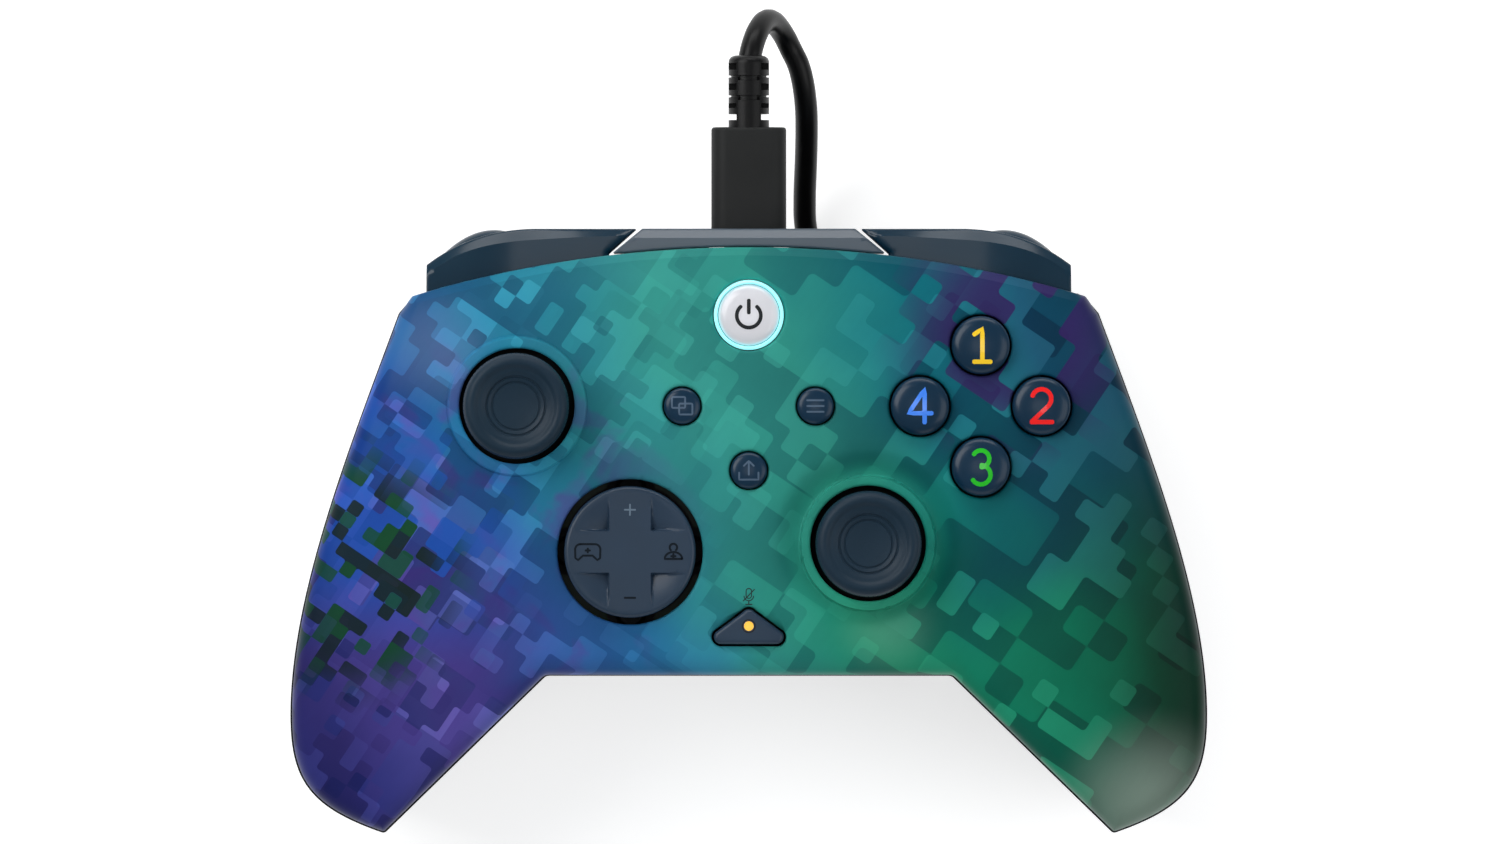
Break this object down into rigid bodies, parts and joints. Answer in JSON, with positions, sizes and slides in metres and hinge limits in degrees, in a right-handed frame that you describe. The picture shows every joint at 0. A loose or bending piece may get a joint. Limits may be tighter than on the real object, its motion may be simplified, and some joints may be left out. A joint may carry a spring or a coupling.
{
  "type": "gamepad controller",
  "caption": "Wired gamepad: two-grip shell with offset thumbsticks, direction pad, face buttons, bumpers, triggers, headset jack and a plug-in cord stored as a coil underneath.",
  "frame": {"origin": "middle of the object's box, without the cord, on the surface that it lies on", "axes": "+X to the right of the face, +Y towards the bumpers and the cable, +Z out of the face"},
  "size_m": [0.153, 0.1384, 0.061],
  "materials": {
    "printed_shell": "satin moulded plastic with a printed camouflage",
    "rear_plastic": "fine-grained matte",
    "navy_satin": "satin",
    "navy_gloss": "high gloss",
    "stick_rubber": "matte",
    "guide_gloss": "gloss",
    "light_ring": "lit translucent",
    "amber_light": "lit translucent",
    "black_rubber": "matte",
    "black_plastic": "fine texture",
    "pad_rubber": "matte",
    "steel": "plain",
    "brass": "plain",
    "board": "solder mask"
  },
  "bodies": {
    "housing": {"front_shell": "printed_shell", "rear_shell": "rear_plastic", "center_trim": "navy_satin", "main_board": "board", "port_socket": "steel", "headset_jack": "black_plastic", "left_stick_base": "black_plastic", "right_stick_base": "black_plastic", "dpad_base": "black_plastic", "dpad_pad": "pad_rubber", "face_pad": "pad_rubber", "guide_light_ring": "light_ring", "tact_switches": "steel", "bumper_pins": "steel", "left_trigger_bracket": "black_plastic", "right_trigger_bracket": "black_plastic", "trigger_pins": "steel", "trigger_springs": "steel", "left_rumble_motor": "steel", "right_rumble_motor": "steel", "shell_screws": "steel", "cable_plug": "black_plastic", "plug_tip": "steel", "strain_relief": "black_rubber", "cord_lead": "black_rubber", "cord_coil": "black_rubber", "cord_tail": "black_rubber", "cord_tie": "black_rubber", "host_plug": "black_plastic", "host_plug_shell": "steel"},
    "left_stick_yoke": {"left_stick_yoke": "steel"},
    "left_stick_cradle": {"left_stick_cradle": "black_plastic"},
    "left_stick": {"left_stick": "stick_rubber"},
    "right_stick_yoke": {"right_stick_yoke": "steel"},
    "right_stick_cradle": {"right_stick_cradle": "black_plastic"},
    "right_stick": {"right_stick": "stick_rubber"},
    "dpad_cross": {"dpad_cross": "steel"},
    "dpad_cap": {"dpad_cap": "navy_satin"},
    "face_button_top": {"face_button_top": "navy_gloss"},
    "face_button_right": {"face_button_right": "navy_gloss"},
    "face_button_bottom": {"face_button_bottom": "navy_gloss"},
    "face_button_left": {"face_button_left": "navy_gloss"},
    "guide_button": {"guide_button": "guide_gloss"},
    "view_button": {"view_button": "navy_gloss"},
    "menu_button": {"menu_button": "navy_gloss"},
    "share_button": {"share_button": "navy_gloss"},
    "left_bumper": {"left_bumper": "navy_gloss"},
    "right_bumper": {"right_bumper": "navy_gloss"},
    "left_trigger": {"left_trigger": "navy_satin"},
    "right_trigger": {"right_trigger": "navy_satin"},
    "left_rumble_weight": {"left_rumble_weight": "brass"},
    "right_rumble_weight": {"right_rumble_weight": "brass"},
    "mic_button": {"mic_button": "navy_satin", "mic_light": "amber_light"}
  },
  "joints": [
    {"name": "left_stick_up_down", "type": "hinge", "parent": "housing", "child": "left_stick_yoke", "pos_m": [-0.0385, 0.0209, 0.036], "axis": [1, 0, 0], "range_deg": [-15, 15], "stiffness_Nm_per_rad": 0.04},
    {"name": "left_stick_left_right", "type": "hinge", "parent": "left_stick_yoke", "child": "left_stick_cradle", "pos_m": [-0.0385, 0.0209, 0.036], "axis": [0, 1, 0], "range_deg": [-15, 15], "stiffness_Nm_per_rad": 0.04},
    {"name": "left_stick_click", "type": "slide", "parent": "left_stick_cradle", "child": "left_stick", "axis": [0, 0, -1], "range_m": [0, 0.0005], "stiffness_N_per_m": 400, "springref_m": -0.001},
    {"name": "right_stick_up_down", "type": "hinge", "parent": "housing", "child": "right_stick_yoke", "pos_m": [0.0198, -0.0019, 0.036], "axis": [1, 0, 0], "range_deg": [-15, 15], "stiffness_Nm_per_rad": 0.04},
    {"name": "right_stick_left_right", "type": "hinge", "parent": "right_stick_yoke", "child": "right_stick_cradle", "pos_m": [0.0198, -0.0019, 0.036], "axis": [0, 1, 0], "range_deg": [-15, 15], "stiffness_Nm_per_rad": 0.04},
    {"name": "right_stick_click", "type": "slide", "parent": "right_stick_cradle", "child": "right_stick", "axis": [0, 0, -1], "range_m": [0, 0.0005], "stiffness_N_per_m": 400, "springref_m": -0.001},
    {"name": "dpad_up_down", "type": "hinge", "parent": "housing", "child": "dpad_cross", "pos_m": [-0.0197, -0.0033, 0.046], "axis": [1, 0, 0], "range_deg": [-6, 6], "stiffness_Nm_per_rad": 0.15},
    {"name": "dpad_left_right", "type": "hinge", "parent": "dpad_cross", "child": "dpad_cap", "pos_m": [-0.0197, -0.0033, 0.046], "axis": [0, 1, 0], "range_deg": [-6, 6], "stiffness_Nm_per_rad": 0.15},
    {"name": "face_button_top_press", "type": "slide", "parent": "housing", "child": "face_button_top", "axis": [0, 0, -1], "range_m": [0, 0.0018], "stiffness_N_per_m": 300, "springref_m": -0.001},
    {"name": "face_button_right_press", "type": "slide", "parent": "housing", "child": "face_button_right", "axis": [0, 0, -1], "range_m": [0, 0.0018], "stiffness_N_per_m": 300, "springref_m": -0.001},
    {"name": "face_button_bottom_press", "type": "slide", "parent": "housing", "child": "face_button_bottom", "axis": [0, 0, -1], "range_m": [0, 0.0018], "stiffness_N_per_m": 300, "springref_m": -0.001},
    {"name": "face_button_left_press", "type": "slide", "parent": "housing", "child": "face_button_left", "axis": [0, 0, -1], "range_m": [0, 0.0018], "stiffness_N_per_m": 300, "springref_m": -0.001},
    {"name": "guide_button_press", "type": "slide", "parent": "housing", "child": "guide_button", "axis": [0, 0, -1], "range_m": [0, 0.0006], "stiffness_N_per_m": 300, "springref_m": -0.001},
    {"name": "view_button_press", "type": "slide", "parent": "housing", "child": "view_button", "axis": [0, 0, -1], "range_m": [0, 0.0006], "stiffness_N_per_m": 300, "springref_m": -0.001},
    {"name": "menu_button_press", "type": "slide", "parent": "housing", "child": "menu_button", "axis": [0, 0, -1], "range_m": [0, 0.0006], "stiffness_N_per_m": 300, "springref_m": -0.001},
    {"name": "share_button_press", "type": "slide", "parent": "housing", "child": "share_button", "axis": [0, 0, -1], "range_m": [0, 0.0006], "stiffness_N_per_m": 300, "springref_m": -0.001},
    {"name": "mic_button_press", "type": "slide", "parent": "housing", "child": "mic_button", "axis": [0, 0, -1], "range_m": [0, 0.0006], "stiffness_N_per_m": 300, "springref_m": -0.001},
    {"name": "left_bumper_press", "type": "hinge", "parent": "housing", "child": "left_bumper", "pos_m": [-0.0255, 0.043, 0.034], "axis": [0, 0, 1], "range_deg": [0, 1.8], "stiffness_Nm_per_rad": 1.5, "springref_deg": -1.15},
    {"name": "left_trigger_pull", "type": "hinge", "parent": "housing", "child": "left_trigger", "pos_m": [-0.043, 0.0367, 0.021], "axis": [-1, 0, 0], "range_deg": [0, 16], "stiffness_Nm_per_rad": 0.15, "springref_deg": -8.59},
    {"name": "left_rumble_spin", "type": "hinge", "parent": "housing", "child": "left_rumble_weight", "pos_m": [-0.057, -0.012, 0.018], "axis": [0, 1, 0], "continuous": true},
    {"name": "right_bumper_press", "type": "hinge", "parent": "housing", "child": "right_bumper", "pos_m": [0.0255, 0.043, 0.034], "axis": [0, 0, -1], "range_deg": [0, 1.8], "stiffness_Nm_per_rad": 1.5, "springref_deg": -1.15},
    {"name": "right_trigger_pull", "type": "hinge", "parent": "housing", "child": "right_trigger", "pos_m": [0.043, 0.0367, 0.021], "axis": [-1, 0, 0], "range_deg": [0, 16], "stiffness_Nm_per_rad": 0.15, "springref_deg": -8.59},
    {"name": "right_rumble_spin", "type": "hinge", "parent": "housing", "child": "right_rumble_weight", "pos_m": [0.057, -0.012, 0.018], "axis": [0, 1, 0], "continuous": true}
  ]
}
